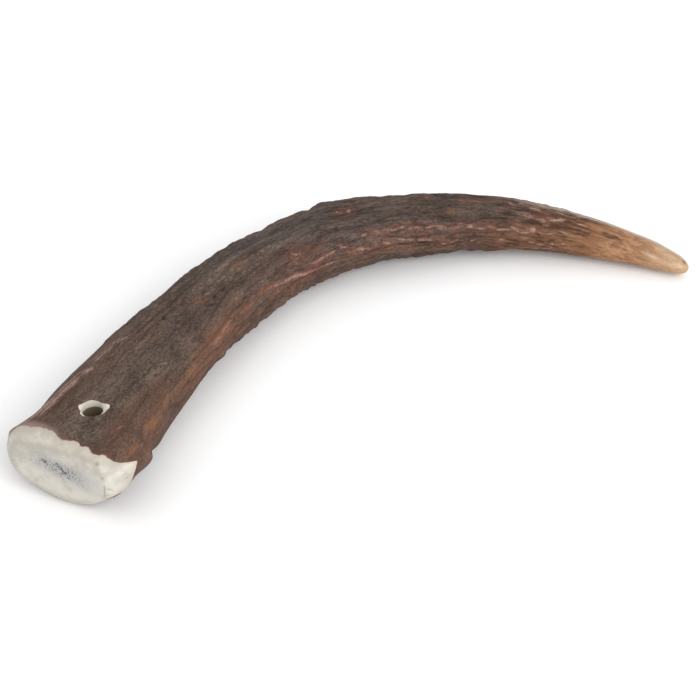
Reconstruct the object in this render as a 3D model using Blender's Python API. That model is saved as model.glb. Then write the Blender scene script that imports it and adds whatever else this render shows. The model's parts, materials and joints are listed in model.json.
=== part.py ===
"""Deer antler dog chew: one curved tine, sawn off at its thick end, ground round the cut and drilled once.

The tine lies on its side. Its chord runs along X with the sawn end at -X, the outer side of the curve
faces +Y, and Z is up. Sizes are in metres and angles in degrees.
"""
import math

import bmesh
import bpy
import numpy as np
from mathutils import Vector, noise

# Overall size
LENGTH = 0.2655
TIP_ROUND = 0.0035

# Along the tine: share of the length, heading of the axis from +X, half width, half thickness
STATIONS = (
    (0.00, 35.0, 0.0188, 0.0124),
    (0.08, 35.5, 0.0190, 0.0119),
    (0.16, 35.5, 0.0168, 0.0114),
    (0.26, 31.0, 0.0156, 0.0111),
    (0.37, 22.0, 0.0150, 0.0108),
    (0.48, 6.0, 0.0143, 0.0105),
    (0.59, -14.0, 0.0134, 0.0101),
    (0.70, -25.0, 0.0115, 0.0091),
    (0.80, -38.0, 0.0093, 0.0077),
    (0.90, -48.0, 0.0066, 0.0058),
    (1.00, -57.0, 0.0030, 0.0028),
)

# Section at the cut: 2 is an ellipse, more is squarer, less is more pointed; its inner end sits higher
SQUARENESS = 2.35
SQUARENESS_LOW_INNER = 1.75
SQUARENESS_REACH = 0.10
LOW_INNER_ANGLE = -45.0
INNER_LIFT = 0.0030

# Swelling where the tine left the main beam, on its sides and all round, and the knuckle on its inner side
FLARE_SIDES = 0.0010
FLARE_ROUND = 0.0006
FLARE_REACH = 0.009
KNUCKLE_HEIGHT = 0.0020
KNUCKLE_END = 0.0190
KNUCKLE_NOTCH = 0.0009
KNUCKLE_STEEPNESS = 0.0030

# Ground edge of the sawn face: its depth along the axis, and how far it comes in for each unit of depth
GRIND_DEPTH = 0.0027
GRIND_DEPTH_OUTER = 0.0012
GRIND_DEPTH_FACET = 0.0026
GRIND_IN = 0.90
GRIND_ANGLE_OUTER = 140.0
GRIND_ANGLE_FACET = -10.0

# Drilled hole, upright through the thick end, with bark broken away round both of its mouths
HOLE_DIAMETER = 0.0063
HOLE_FROM_CUT = 0.0178
HOLE_ASIDE = 0.0014
HOLE_SIDES = 32
CHIP_WIDTH = 0.0017
CHIP_LEAST = 0.1
CHIP_DEPTH = 0.0010
CHIP_CORNERS = 5
CHIP_CORNER_SIZE = 0.22
CHIP_ANGLE = 62.0
DRILL_OVERRUN = 0.006

# Relief of the bark: long ridges that are lower near the cut, lumps, and one step on the outer side
RIDGE_HEIGHT = 0.0012
RIDGE_LENGTH = 0.075
RIDGE_WIDTH = 0.0065
RIDGE_SHARPNESS = 2.6
RIDGE_LEVEL = 0.6
RIDGE_AT_CUT = 0.35
RIDGE_FULL_FROM = 0.20
RIDGE_FULL_BY = 0.42
LUMP_HEIGHT = 0.0012
LUMP_LENGTH = 0.014
LUMP_WIDTH = 0.009
RIDGE_SEED = 3.0
LUMP_SEED = 11.0
STEP_PLACE = 0.138
STEP_HEIGHT = 0.0010
STEP_REACH = 0.0045

# The tip is worn bare between these shares of the length
BARE_FROM = 0.70
BARE_BY = 0.88

# Mesh
AROUND = 64
ALONG = 66
TIP_RINGS = 4
CROWDING = 0.30
AXIS_STEPS = 400
WELD = 1e-6

BARK_COLOUR = (0.115, 0.080, 0.062, 1.0)
BARK_ROUGHNESS = 0.62
BONE_COLOUR = (0.72, 0.67, 0.58, 1.0)
BONE_ROUGHNESS = 0.50
BARK, BONE = 0, 1
SHARP_ANGLE = 35.0


def smooth(low, high, value):
    """Rises smoothly from 0 at low to 1 at high."""
    share = np.clip((value - low) / (high - low), 0.0, 1.0)
    return share * share * (3.0 - 2.0 * share)


def bump(value, place, reach):
    """A round bump that is 1 at its place and fades over its reach."""
    return np.exp(-((value - place) / reach) ** 2)


def facing(turn, degrees):
    """1 at one angle round the section, 0 at the opposite one."""
    return 0.5 + 0.5 * np.cos(turn - math.radians(degrees))


def profile(column, share):
    """One column of STATIONS at a share of the length, as a smooth curve through its values."""
    x = np.array([row[0] for row in STATIONS])
    y = np.array([row[column] for row in STATIONS])
    slope = np.gradient(y, x)
    share = np.clip(share, 0.0, 1.0)
    i = np.clip(np.searchsorted(x, share) - 1, 0, len(x) - 2)
    gap = x[i + 1] - x[i]
    u = (share - x[i]) / gap
    start = (1.0 + 2.0 * u) * (1.0 - u) ** 2 * y[i] + u * (1.0 - u) ** 2 * gap * slope[i]
    end = u * u * (3.0 - 2.0 * u) * y[i + 1] + u * u * (u - 1.0) * gap * slope[i + 1]
    return start + end


def axis_at(along):
    """The axis seen from above at distances along the tine: east, north and heading."""
    steps = np.linspace(0.0, LENGTH, AXIS_STEPS)
    heading = np.radians(profile(1, steps / LENGTH))
    middle = (heading[1:] + heading[:-1]) / 2.0
    east = np.concatenate([[0.0], np.cumsum(np.cos(middle)) * steps[1]])
    north = np.concatenate([[0.0], np.cumsum(np.sin(middle)) * steps[1]])
    return np.interp(along, steps, east), np.interp(along, steps, north), np.interp(along, steps, heading)


def grind_depth(turn):
    """How far along the axis the ground edge reaches at an angle round the section."""
    outer = facing(turn, GRIND_ANGLE_OUTER) ** 2
    facet = facing(turn, GRIND_ANGLE_FACET) ** 4
    return GRIND_DEPTH + GRIND_DEPTH_OUTER * outer + GRIND_DEPTH_FACET * facet


def noise_at(along, side, up, length, width, seed):
    """Smooth noise on the tine as if it were straight, stretched to a length and a width."""
    points = np.stack([along / length + seed, side / width, up / width], -1)
    return np.array([noise.noise(Vector(point)) for point in points])


def bark_relief(along, turn, half_width, half_thick):
    """Height of the bark over the plain section: long ridges, lumps, and a step on the outer side."""
    share = along / LENGTH
    side = half_width * np.cos(turn)
    up = half_thick * np.sin(turn)
    covered = 1.0 - smooth(BARE_FROM, BARE_BY, share)
    ridged = RIDGE_AT_CUT + (1.0 - RIDGE_AT_CUT) * smooth(RIDGE_FULL_FROM, RIDGE_FULL_BY, share)
    grain = noise_at(along, side, up, RIDGE_LENGTH, RIDGE_WIDTH, RIDGE_SEED)
    ridge = RIDGE_HEIGHT * ridged * (RIDGE_LEVEL - RIDGE_SHARPNESS * np.abs(grain))
    lump = LUMP_HEIGHT * noise_at(along, side, up, LUMP_LENGTH, LUMP_WIDTH, LUMP_SEED)
    rise = bump(along, STEP_PLACE + STEP_REACH, 2.0 * STEP_REACH)
    fall = bump(along, STEP_PLACE - STEP_REACH, STEP_REACH)
    step = STEP_HEIGHT * (rise - fall) * facing(turn, 180.0) ** 3
    return covered * (ridge + lump) + step


def surface(along, turn, inset):
    """Points of the outer surface at distances along the tine and angles round it."""
    share = along / LENGTH
    east, north, heading = axis_at(along)
    half_width = profile(2, share)
    half_thick = profile(3, share)
    flare = np.exp(-along / FLARE_REACH) * (FLARE_ROUND + FLARE_SIDES * np.abs(np.cos(turn)))
    knuckle = KNUCKLE_HEIGHT * (1.0 - smooth(KNUCKLE_END - KNUCKLE_STEEPNESS, KNUCKLE_END, along))
    notch = KNUCKLE_NOTCH * bump(along, KNUCKLE_END + KNUCKLE_STEEPNESS, KNUCKLE_STEEPNESS)
    over = flare + (knuckle - notch) * facing(turn, 0.0) ** 5
    over = over - inset + bark_relief(along, turn, half_width, half_thick)
    low_inner = smooth(0.25, 0.75, facing(turn, LOW_INNER_ANGLE))
    square = SQUARENESS + (SQUARENESS_LOW_INNER - SQUARENESS) * low_inner
    power = 2.0 / (2.0 + (square - 2.0) * np.exp(-share / SQUARENESS_REACH))
    closing = np.sqrt(1.0 - np.clip((along - LENGTH + TIP_ROUND) / TIP_ROUND, 0.0, 1.0) ** 2)
    side = (half_width + over) * closing * np.sign(np.cos(turn)) * np.abs(np.cos(turn)) ** power
    up = (half_thick + over) * closing * np.sign(np.sin(turn)) * np.abs(np.sin(turn)) ** power
    lift = INNER_LIFT * np.exp(-share / SQUARENESS_REACH) * np.clip(np.cos(turn), 0.0, 1.0) ** 2
    height = up + half_thick + lift
    return np.stack([east + side * np.sin(heading), north - side * np.cos(heading), height], -1)


def ring_shares():
    """Share of the way from the cut to the tip for each ring, closest near the cut and round the tip."""
    end = 1.0 - TIP_ROUND / LENGTH
    even = np.linspace(0.0, 1.0, ALONG - TIP_RINGS)
    shaft = end * even * (1.0 - CROWDING * (1.0 - even))
    quarter = np.linspace(0.0, math.pi / 2.0, TIP_RINGS + 1)[1:]
    return np.concatenate([[0.0], shaft, end + (1.0 - end) * np.sin(quarter)])


def make_tine():
    """The tine as one closed mesh, and the move that stands it over the origin."""
    shell = bmesh.new()
    bmesh.ops.create_grid(shell, x_segments=AROUND, y_segments=ALONG, size=1.0)
    flat = np.array([vert.co for vert in shell.verts])
    turn = np.pi * (flat[:, 0] + 1.0)
    row = np.rint((flat[:, 1] + 1.0) / 2.0 * ALONG).astype(int)
    depth = grind_depth(turn)
    along = np.where(row == 0, 0.0, depth + (LENGTH - depth) * ring_shares()[row])
    points = surface(along, turn, np.where(row == 0, depth * GRIND_IN, 0.0))
    low = points.min(0)
    high = points.max(0)
    move = -np.array([(low[0] + high[0]) / 2.0, (low[1] + high[1]) / 2.0, low[2]])
    cut_edge = shell.verts.layers.int.new("cut_edge")
    for vert, point, number in zip(shell.verts, points + move, row):
        vert.co = point
        vert[cut_edge] = int(number == 0)
    bmesh.ops.remove_doubles(shell, verts=shell.verts, dist=WELD)
    bmesh.ops.holes_fill(shell, edges=shell.edges)
    bmesh.ops.recalc_face_normals(shell, faces=shell.faces)
    for face in shell.faces:
        face.smooth = True
        face.material_index = BONE if any(vert[cut_edge] for vert in face.verts) else BARK
    mesh = bpy.data.meshes.new("antler")
    shell.to_mesh(mesh)
    shell.free()
    return mesh, move


def chip_width(angle):
    """How wide the bark broke away at an angle round the hole: widest on one side, with corners."""
    away = smooth(0.05, 0.55, facing(angle, CHIP_ANGLE))
    spread = CHIP_LEAST + (1.0 - CHIP_LEAST) * away
    return CHIP_WIDTH * spread * (1.0 + CHIP_CORNER_SIZE * np.cos(CHIP_CORNERS * angle))


def make_drill(move):
    """The bar that cuts the hole: round, and wider where it breaks through the bark."""
    east, north, heading = axis_at(HOLE_FROM_CUT)
    middle = Vector((east + HOLE_ASIDE * np.sin(heading) + move[0],
                     north - HOLE_ASIDE * np.cos(heading) + move[1], 0.0))
    top = 2.0 * profile(3, HOLE_FROM_CUT / LENGTH) + move[2]
    widest = 1.0 + DRILL_OVERRUN / CHIP_DEPTH
    levels = (
        (-DRILL_OVERRUN, widest),
        (CHIP_DEPTH, 0.0),
        (top - CHIP_DEPTH, 0.0),
        (top + DRILL_OVERRUN, widest),
    )
    bar = bmesh.new()
    rings = [bmesh.ops.create_circle(bar, segments=HOLE_SIDES, radius=1.0)["verts"]]
    edges = list(bar.edges)
    for _ in levels[1:]:
        made = bmesh.ops.extrude_edge_only(bar, edges=edges)["geom"]
        rings.append([item for item in made if isinstance(item, bmesh.types.BMVert)])
        edges = [item for item in made if isinstance(item, bmesh.types.BMEdge)]
    for ring, (height, spread) in zip(rings, levels):
        for vert in ring:
            angle = math.atan2(vert.co.y, vert.co.x)
            reach = HOLE_DIAMETER / 2.0 + spread * chip_width(angle)
            vert.co = middle + Vector((reach * math.cos(angle), reach * math.sin(angle), height))
    bmesh.ops.holes_fill(bar, edges=bar.edges)
    bmesh.ops.recalc_face_normals(bar, faces=bar.faces)
    for face in bar.faces:
        face.material_index = BONE
    mesh = bpy.data.meshes.new("drill")
    bar.to_mesh(mesh)
    bar.free()
    return mesh


def finish(name, colour, roughness):
    """A plain non-metal material."""
    material = bpy.data.materials.new(name)
    material.use_nodes = True
    shader = material.node_tree.nodes["Principled BSDF"]
    shader.inputs["Base Color"].default_value = colour
    shader.inputs["Roughness"].default_value = roughness
    shader.inputs["Metallic"].default_value = 0.0
    return material


def main():
    for thing in list(bpy.data.objects):
        bpy.data.objects.remove(thing, do_unlink=True)
    bark = finish("bark", BARK_COLOUR, BARK_ROUGHNESS)
    bone = finish("bone", BONE_COLOUR, BONE_ROUGHNESS)
    tine_mesh, move = make_tine()
    drill_mesh = make_drill(move)
    for mesh in (tine_mesh, drill_mesh):
        mesh.materials.append(bark)
        mesh.materials.append(bone)
    tine_mesh.set_sharp_from_angle(angle=math.radians(SHARP_ANGLE))
    antler = bpy.data.objects.new("antler", tine_mesh)
    drill = bpy.data.objects.new("drill", drill_mesh)
    for thing in (antler, drill):
        bpy.context.scene.collection.objects.link(thing)
    drill.display_type = "WIRE"
    drill.hide_render = True
    hole = antler.modifiers.new("hole", "BOOLEAN")
    hole.operation = "DIFFERENCE"
    hole.solver = "EXACT"
    hole.object = drill


main()
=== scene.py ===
"""Looks of the deer antler dog chew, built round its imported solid.

Everything is in metres in the solid's own frame. A place on the tine is given by its distance along
the axis from the sawn end and by its angle round the section: 0 is the inner side of the curve, 90 the
top, 180 the outer side and 270 the underside. Tables of marks give both in millimetres and degrees.
"""
import json
import math

import bmesh
import bpy
import numpy as np
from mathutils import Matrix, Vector, noise


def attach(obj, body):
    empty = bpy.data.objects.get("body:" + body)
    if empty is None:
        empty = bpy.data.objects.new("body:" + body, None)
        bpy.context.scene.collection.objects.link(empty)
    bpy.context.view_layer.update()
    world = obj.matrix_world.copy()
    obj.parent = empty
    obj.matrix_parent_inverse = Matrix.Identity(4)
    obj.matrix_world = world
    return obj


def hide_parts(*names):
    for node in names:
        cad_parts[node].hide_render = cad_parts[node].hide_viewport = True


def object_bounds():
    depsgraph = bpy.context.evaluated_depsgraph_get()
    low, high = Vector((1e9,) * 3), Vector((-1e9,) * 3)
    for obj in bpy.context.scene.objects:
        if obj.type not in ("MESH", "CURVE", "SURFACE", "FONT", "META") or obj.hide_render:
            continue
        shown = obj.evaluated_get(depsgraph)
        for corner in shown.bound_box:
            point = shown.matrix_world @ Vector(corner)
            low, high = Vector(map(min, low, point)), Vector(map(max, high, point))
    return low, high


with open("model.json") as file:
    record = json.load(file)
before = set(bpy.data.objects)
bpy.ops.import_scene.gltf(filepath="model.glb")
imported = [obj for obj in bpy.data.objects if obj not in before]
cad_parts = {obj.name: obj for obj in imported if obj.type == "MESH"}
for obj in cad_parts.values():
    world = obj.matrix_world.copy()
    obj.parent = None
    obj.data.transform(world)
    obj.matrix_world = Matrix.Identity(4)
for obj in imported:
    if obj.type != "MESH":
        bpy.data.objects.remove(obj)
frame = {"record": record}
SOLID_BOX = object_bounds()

bl_info = {
    "name": "Antler Dog Chew",
    "version": (1, 0, 0),
    "blender": (4, 5, 0),
    "location": "3D View > Sidebar > Antler",
    "description": "A drilled antler chew with its bark, sawn bone and worn tip, on a pale stage",
    "category": "Object",
}

NODE = "antler"
BODY = "root"
MM = 0.001
INNER = 0.0
OUTER = 180.0

# The form of the solid: share of the length, heading from +X, half width, half thickness
LENGTH = 0.2655
TIP_ROUND = 0.0035
STATIONS = (
    (0.00, 35.0, 0.0188, 0.0124),
    (0.08, 35.5, 0.0190, 0.0119),
    (0.16, 35.5, 0.0168, 0.0114),
    (0.26, 31.0, 0.0156, 0.0111),
    (0.37, 22.0, 0.0150, 0.0108),
    (0.48, 6.0, 0.0143, 0.0105),
    (0.59, -14.0, 0.0134, 0.0101),
    (0.70, -25.0, 0.0115, 0.0091),
    (0.80, -38.0, 0.0093, 0.0077),
    (0.90, -48.0, 0.0066, 0.0058),
    (1.00, -57.0, 0.0030, 0.0028),
)
HEADING = 1
HALF_WIDTH = 2
HALF_THICK = 3
AXIS_STEPS = 400

# Section at the cut
SQUARENESS = 2.35
SQUARENESS_LOW_INNER = 1.75
SQUARENESS_REACH = 0.10
LOW_INNER_ANGLE = -45.0
LOW_INNER_FACE = (0.25, 0.75)
INNER_LIFT = 0.0030
FLARE_SIDES = 0.0010
FLARE_ROUND = 0.0006
FLARE_REACH = 0.009
KNUCKLE_HEIGHT = 0.0020
KNUCKLE_END = 0.0190
KNUCKLE_NOTCH = 0.0009
KNUCKLE_STEEPNESS = 0.0030
KNUCKLE_FOCUS = 5

# Ground edge of the cut: angle, how far it reaches along the axis, and how far in from the bark
GROUND_EDGE = (
    (-165, 3.6, 3.6),
    (-140, 3.2, 2.8),
    (-90, 3, 2.6),
    (-52, 3.2, 2.6),
    (-28, 3.4, 2.6),
    (-14, 4, 2.8),
    (-4, 4.6, 3),
    (3, 5.2, 3.2),
    (6, 6.2, 3.2),
    (9, 7.2, 3.2),
    (13, 8.3, 3.2),
    (17, 9.6, 3.2),
    (20, 7.6, 3.2),
    (24, 5.9, 3.2),
    (29, 3.8, 3.2),
    (34, 2.7, 3.3),
    (45, 2.7, 3.4),
    (70, 3.2, 3.8),
    (95, 3.4, 4.3),
    (118, 5, 4.4),
    (140, 4, 3.8),
    (165, 3.8, 3.8),
)
GROUND_ROUND = 0.75

# Flat facet ground on the inner side of the cut: the angles where it fades in and out, its crease
FACET_TURNS = (-58.0, -46.0, 32.0, 42.0)
FACET_FROM = 0.01467
FACET_LEAN = 0.076
FACET_BLEND = 0.0008
FACET_EASING = 1.7

# Tables that go round the section: their columns past the angle, and how many degrees blur them
AHEAD = 1
INWARD = 2
TABLE_BLUR = 1.5

# Where the bark begins past the cut: angle and distance along
BARK_EDGE = (
    (-165, 2.6),
    (-150, 3),
    (-138, 2.2),
    (-120, 2.9),
    (-104, 2.1),
    (-88, 2.8),
    (-70, 2.2),
    (-58, 2.8),
    (37, 2.4),
    (42, 2.4),
    (46, 2.4),
    (49, 1.6),
    (53, 1.3),
    (57, 1.3),
    (61, 1.9),
    (65, 2.5),
    (68, 2.1),
    (70, 1.8),
    (74, 2.5),
    (78, 2.8),
    (83, 2.4),
    (87, 1.8),
    (90, 2.1),
    (92, 2.8),
    (95, 3.4),
    (101, 3.7),
    (114, 4),
    (121, 3.7),
    (127, 4.1),
    (135, 4.6),
    (151, 3.6),
    (165, 3.2),
)
BARK_WAVER = 0.20
BARK_WAVER_NOISE = (1.0, 0.06, 53.0)
BARK_LIP = (-0.0001, 0.0006)
BARK_RECORD = 5.0

# Broad ridges and lumps that the solid has too; a noise is its length, its width across and its seed
RIDGE_NOISE = (0.075, 0.0065, 3.0)
RIDGE_HEIGHT = 0.0012
RIDGE_SHARPNESS = 2.6
RIDGE_LEVEL = 0.6
RIDGE_AT_CUT = 0.35
RIDGE_FULL = (0.20, 0.42)
LUMP_NOISE = (0.014, 0.009, 11.0)
LUMP_HEIGHT = 0.0012
STEP_PLACE = 0.138
STEP_HEIGHT = 0.0010
STEP_REACH = 0.0045
STEP_FOCUS = 3
BARE_FROM = 0.70
BARE_BY = 0.88

# Fine relief of the bark: noises and cells, how far it wanders, heights in mm, shares of the length
WANDER_NOISE = (0.011, 0.004, 41.0)
WANDER_ROUND_NOISE = (0.006, 0.003, 47.0)
MARK_WANDER = 0.0012
GRAIN_WANDER = 0.0008
FURROW_NOISE = (0.026, 0.0030, 5.0)
FURROW_SPREAD = 0.14
FURROW_DEPTH = 0.34
CELL_SPREAD = 0.80
PEARL_CELLS = (0.0024, 0.0017, 17.0)
PEARL_PATCHES = (0.024, 0.007, 23.0)
PEARL_HEIGHT = 0.34
BEAD_CELLS = (0.0038, 0.0040, 31.0)
BEAD_PATCHES = (0.019, 0.012, 61.0)
BEAD_HEIGHT = 1.1
BEAD_LEVEL = 0.4
BEADED_OUTER_ANGLE = 150.0
BEADED_OUTER = (0.6, 0.95)
BEADED_OUTER_ENDS = (0.66, 0.76)
BEADED_UNDER_ANGLE = -35.0
BEADED_UNDER = (0.55, 0.95)
BEADED_UNDER_GROWS = (0.36, 0.50)
BEADED_UNDER_ENDS = (0.68, 0.78)
GRIT_NOISE = (0.0016, 0.0011, 29.0)
GRIT_HEIGHT = 0.05
ROUGH_GRIT_HEIGHT = 0.10
ROUGH_STRETCH = (0.10, 0.30, 0.84, 0.90)

# Hole, and where the bark broke away round its upper mouth: angle from +X and reach past the drill
HOLE_FROM_CUT = 0.0178
HOLE_ASIDE = 0.0014
HOLE_SIDES = 96
CHIP_OUTLINE = (
    (-166, 0.95),
    (-150, 1.05),
    (-132, 0.65),
    (-115, 0.45),
    (-97, 0.55),
    (-80, 0.85),
    (-58, 1.15),
    (-42, 1.35),
    (-28, 1.95),
    (-18, 1.95),
    (-8, 1.30),
    (2, 0.65),
    (16, 0.20),
    (45, 0.20),
    (73, 0.25),
    (105, 0.10),
    (126, 0.40),
    (136, 0.95),
    (145, 0.95),
    (160, 0.60),
    (177, 0.35),
)
CHIP_DEPTH = 0.0010
DRILL_OVERRUN = 0.006
WALL_EDGE = 0.0004
# How deep in the hole the darker marrow and its painted shade begin and are full
MARROW_AND_SHADE_FROM = 0.0021
MARROW_AND_SHADE_BY = 0.0027
HOLE_HALF_THICK = 0.0121

# Grid of the tine: its columns, its rows, and how far its tip is drawn out
AROUND = 256
FACE_ROWS = 44
FACE_MARGIN = 2
EDGE_ROWS = 18
SHAFT_ROWS = 306
TIP_ROWS = 12
FACE_EASING = 0.9
CROWDING = 0.30
WELD = 1e-6
SHARP_ANGLE = 62.0
TIP_REACH = 0.0006
TIP_REACH_FROM = 0.012

# Broad corrections of the outline: along, angle, length, width, height
SWELLS = (
    (43, 150, 34, 60, 1.1),
    (83, 145, 28, 60, -1.3),
    (113, 145, 18, 60, -0.9),
    (130, 135, 14, 60, -0.9),
    (178, 115, 34, 60, 0.8),
    (12, -22, 9, 40, -0.6),
    (4, -32, 12, 52, -1.3),
    (11, 18, 8, 30, 0.6),
    (2, -125, 10, 60, -0.35),
    (66, 147, 12, 50, 0.7),
    (133, 138, 5.5, 40, 0.35),
    (137, 138, 4.2, 40, -1.1),
    (143.5, 130, 9, 45, 0.5),
    (170, 120, 9, 50, 0.4),
    (187.5, 110, 8, 50, 0.4),
    (112, -25, 30, 50, -0.5),
    (145, -42, 16, 50, -1.2),
    (70, -9, 5, 26, 0.7),
    (115, -45, 5, 30, 0.7),
    (169.5, -42, 5, 30, 0.6),
    (206, -40, 24, 50, -0.8),
    (218, -45, 14, 50, -0.4),
    (13, 148, 16, 50, -0.8),
    (122, 147, 8, 50, -0.5),
    (160, 133, 5, 40, -0.5),
    (253, 131, 12, 60, 0.45),
    (264, 110, 5, 90, -0.55),
    (263, -60, 8, 90, -0.35),
)

# How a mark fades along it and across it, and how far past its ends it still counts
MARK_POWERS = (2.8, 2.2)
MARK_FADE = 0.8
MARK_REACH = 1.2

# Columns of a table of marks: its height, depth or strength, and how pale or dark it is
FORCE = 5
TONE = 6

# How far the reddish bark spreads past a pale crest, in mm
BLUSH_SPREAD = 2.6

# Raised marks whose crests are worn pale: along, angle, length, width, lean, height, paleness
RIDGES = (
    (72, 28, 18, 1.6, 2, 0.22, 0.55),
    (88, 27, 8, 1, 0, 0.15, 0.45),
    (14.5, 53.5, 3.4, 1.2, -10, 0.15, 0.55),
    (56, 6, 9, 1, 0, 0.20, 0.35),
    (106, 8, 2, 3, 10, 0.20, 0.45),
    (114.5, 17, 25, 1.6, -10, 0.34, 0.85),
    (117.8, 39, 2.2, 0.8, -23, 0.20, 0.60),
    (119.1, 48.5, 6, 2.2, -2, 0.18, 0.60),
    (127.4, 27.5, 8, 1.2, -2, 0.24, 0.95),
    (133, 29, 5, 1, 6, 0.22, 0.75),
    (131.6, 11, 8, 1.2, 4, 0.24, 0.75),
    (138.9, 32, 3.6, 0.8, -14, 0.25, 0.95),
    (143.6, 91, 2, 1.2, -16, 0.18, 0.80),
    (145.9, 18.5, 7.5, 1.2, -9, 0.28, 0.80),
    (147.7, 88.5, 1.7, 1.2, 0, 0.20, 0.95),
    (151.9, 113.5, 2.2, 1.6, 0, 0.20, 0.95),
    (148.7, 41, 3.2, 1.3, -8, 0.28, 0.80),
    (153.3, 41.5, 5, 1, -2, 0.26, 0.70),
    (154.5, 38.5, 3.6, 1, -7, 0.26, 0.60),
    (159.3, 38.5, 6.4, 1, -8, 0.26, 0.75),
    (164, 41, 2.6, 1, 10, 0.28, 0.80),
    (166.9, 35.5, 2.8, 0.7, -5, 0.22, 0.75),
    (169.3, 36.5, 2, 0.9, -6, 0.26, 0.95),
    (173.6, 37.5, 2.8, 0.9, 14, 0.30, 0.95),
    (177.4, 39, 5, 0.9, -5, 0.28, 0.90),
    (177.7, 33.5, 4.6, 0.8, -5, 0.22, 0.65),
    (181.9, 33.5, 3.2, 1, -4, 0.24, 0.70),
    (184.8, 35, 3.2, 0.8, 0, 0.24, 0.90),
    (184.5, 42, 2.4, 0.7, 0, 0.18, 0.60),
    (189, 37, 1.9, 1.6, 0, 0.32, 1.00),
    (192, 34, 3.8, 0.9, -5, 0.26, 0.75),
    (156.9, 20, 3.5, 1.2, -7, 0.28, 0.85),
    (163.9, 23, 7, 0.8, -7, 0.26, 0.75),
    (171.2, 19.5, 7, 0.9, -5, 0.28, 0.85),
    (178.1, 15, 6, 0.8, -7, 0.22, 0.55),
    (178.9, 6, 3.2, 1.1, -7, 0.26, 0.75),
    (182.5, 8.5, 4, 0.9, 9, 0.26, 0.80),
    (189.3, 1, 2, 1.2, 0, 0.24, 0.75),
    (174.5, 94, 1.6, 1, 0, 0.18, 0.65),
    (186.3, 95, 2.6, 1.1, 0, 0.20, 0.75),
    (190.5, 96, 6.6, 0.8, 9, 0.18, 0.60),
    (196.4, 38, 3.6, 0.9, -13, 0.28, 0.75),
    (200.8, 34, 5.8, 0.9, 3, 0.28, 0.80),
    (204.8, 38.5, 2.8, 0.9, -22, 0.30, 0.95),
    (206.4, 32, 2.2, 0.8, -40, 0.28, 0.85),
    (208.7, 29, 3.8, 0.8, 5, 0.26, 0.90),
    (211.5, 36, 2.5, 2, 0, 0.36, 1.00),
    (214.4, 30, 3.4, 0.7, -6, 0.22, 0.65),
    (218, 31, 4.6, 0.7, 7, 0.22, 0.70),
    (223, 37.5, 4.2, 0.8, -15, 0.26, 0.95),
    (226.8, 36, 4.4, 0.7, 7, 0.20, 0.75),
    (203.4, 96.5, 5.4, 1, -16, 0.26, 0.90),
    (207.5, 106.5, 2.4, 1.2, 0, 0.22, 0.75),
    (199.7, 108, 2.6, 1, 0, 0.20, 0.55),
    (211.4, 87, 3.8, 1.3, -15, 0.32, 1.00),
    (210.2, 66, 3.4, 0.9, -17, 0.28, 0.80),
    (220.3, 70.5, 6.8, 0.9, 14, 0.30, 0.95),
    (217.7, 87, 2.4, 0.9, 0, 0.20, 0.55),
    (213, 111, 3, 1.3, 20, 0.22, 0.75),
    (228.7, 72, 5, 1.2, 0, 0.26, 0.90),
    (216.3, 50.5, 2.6, 0.9, 0, 0.24, 0.75),
    (211.6, 2, 2.6, 1.1, -15, 0.28, 0.95),
    (214.4, -1, 4.2, 0.8, -5, 0.24, 0.80),
    (218.6, -6.5, 4.6, 0.8, -14, 0.22, 0.65),
    (218.6, 4.5, 2.2, 1.4, 0, 0.24, 0.85),
    (200, 9, 2.4, 1.6, 0, 0.24, 0.75),
    (201.3, -5, 3.8, 1.6, -14, 0.24, 0.55),
    (195.2, 11, 2.2, 1, 0, 0.20, 0.55),
    (200.7, 77, 4, 2.6, 0, 0.20, 0.45),
    (221.4, 91, 5, 1.1, -8, 0.24, 0.90),
    (163.5, 37.5, 24, 1.3, 0, 0.12, 0.44),
    (182.5, 38, 26, 1.3, 0, 0.12, 0.44),
    (204, 35.8, 22, 1.2, -2, 0.12, 0.42),
    (220, 34, 12, 1, -2, 0.12, 0.45),
    (160, 20.5, 14, 1.3, 0, 0.12, 0.40),
    (171, 18.5, 14, 1.2, -4, 0.12, 0.46),
    (181, 11.5, 13, 1.2, -11, 0.12, 0.42),
    (207, -1, 16, 1.1, 0, 0.12, 0.36),
)

# Light worn bands on the outer shoulder, and painted highlights on the polished tip, with no reddish
# bark round them
BANDS = (
    (12.5, 129.5, 15, 1.9, -6, 0.15, 1.00),
    (15.5, 122.5, 13, 1.6, -5, 0.15, 0.95),
    (26, 126, 14, 1.6, -3, 0.15, 0.90),
    (24.5, 119.5, 11, 1.5, -6, 0.15, 0.90),
    (32.5, 117, 5, 1.8, -10, 0.15, 1.00),
    (40, 125.5, 10, 1.1, -7, 0.20, 0.85),
    (47, 121.5, 9, 1, -12, 0.20, 0.80),
    (41, 118.5, 11, 1.1, -5, 0.20, 0.85),
    (50, 115, 11, 1, -10, 0.18, 0.70),
    (43, 108.5, 9, 1, -13, 0.16, 0.60),
    (60, 104, 20, 1, -4, 0.16, 0.50),
    # The last five rows are painted highlights on the polished tip
    (254.8, 41.5, 6.5, 1.5, -4, 0.05, 0.80),
    (256.6, 28.5, 6, 1.3, 1, 0.05, 0.50),
    (259, 70, 4, 1.1, 0, 0.05, 0.60),
    (255.9, 86.5, 4.2, 1.3, 4, 0.05, 0.55),
    (262, 40.5, 4.2, 1.7, 7, 0.05, 1.00),
)

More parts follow.
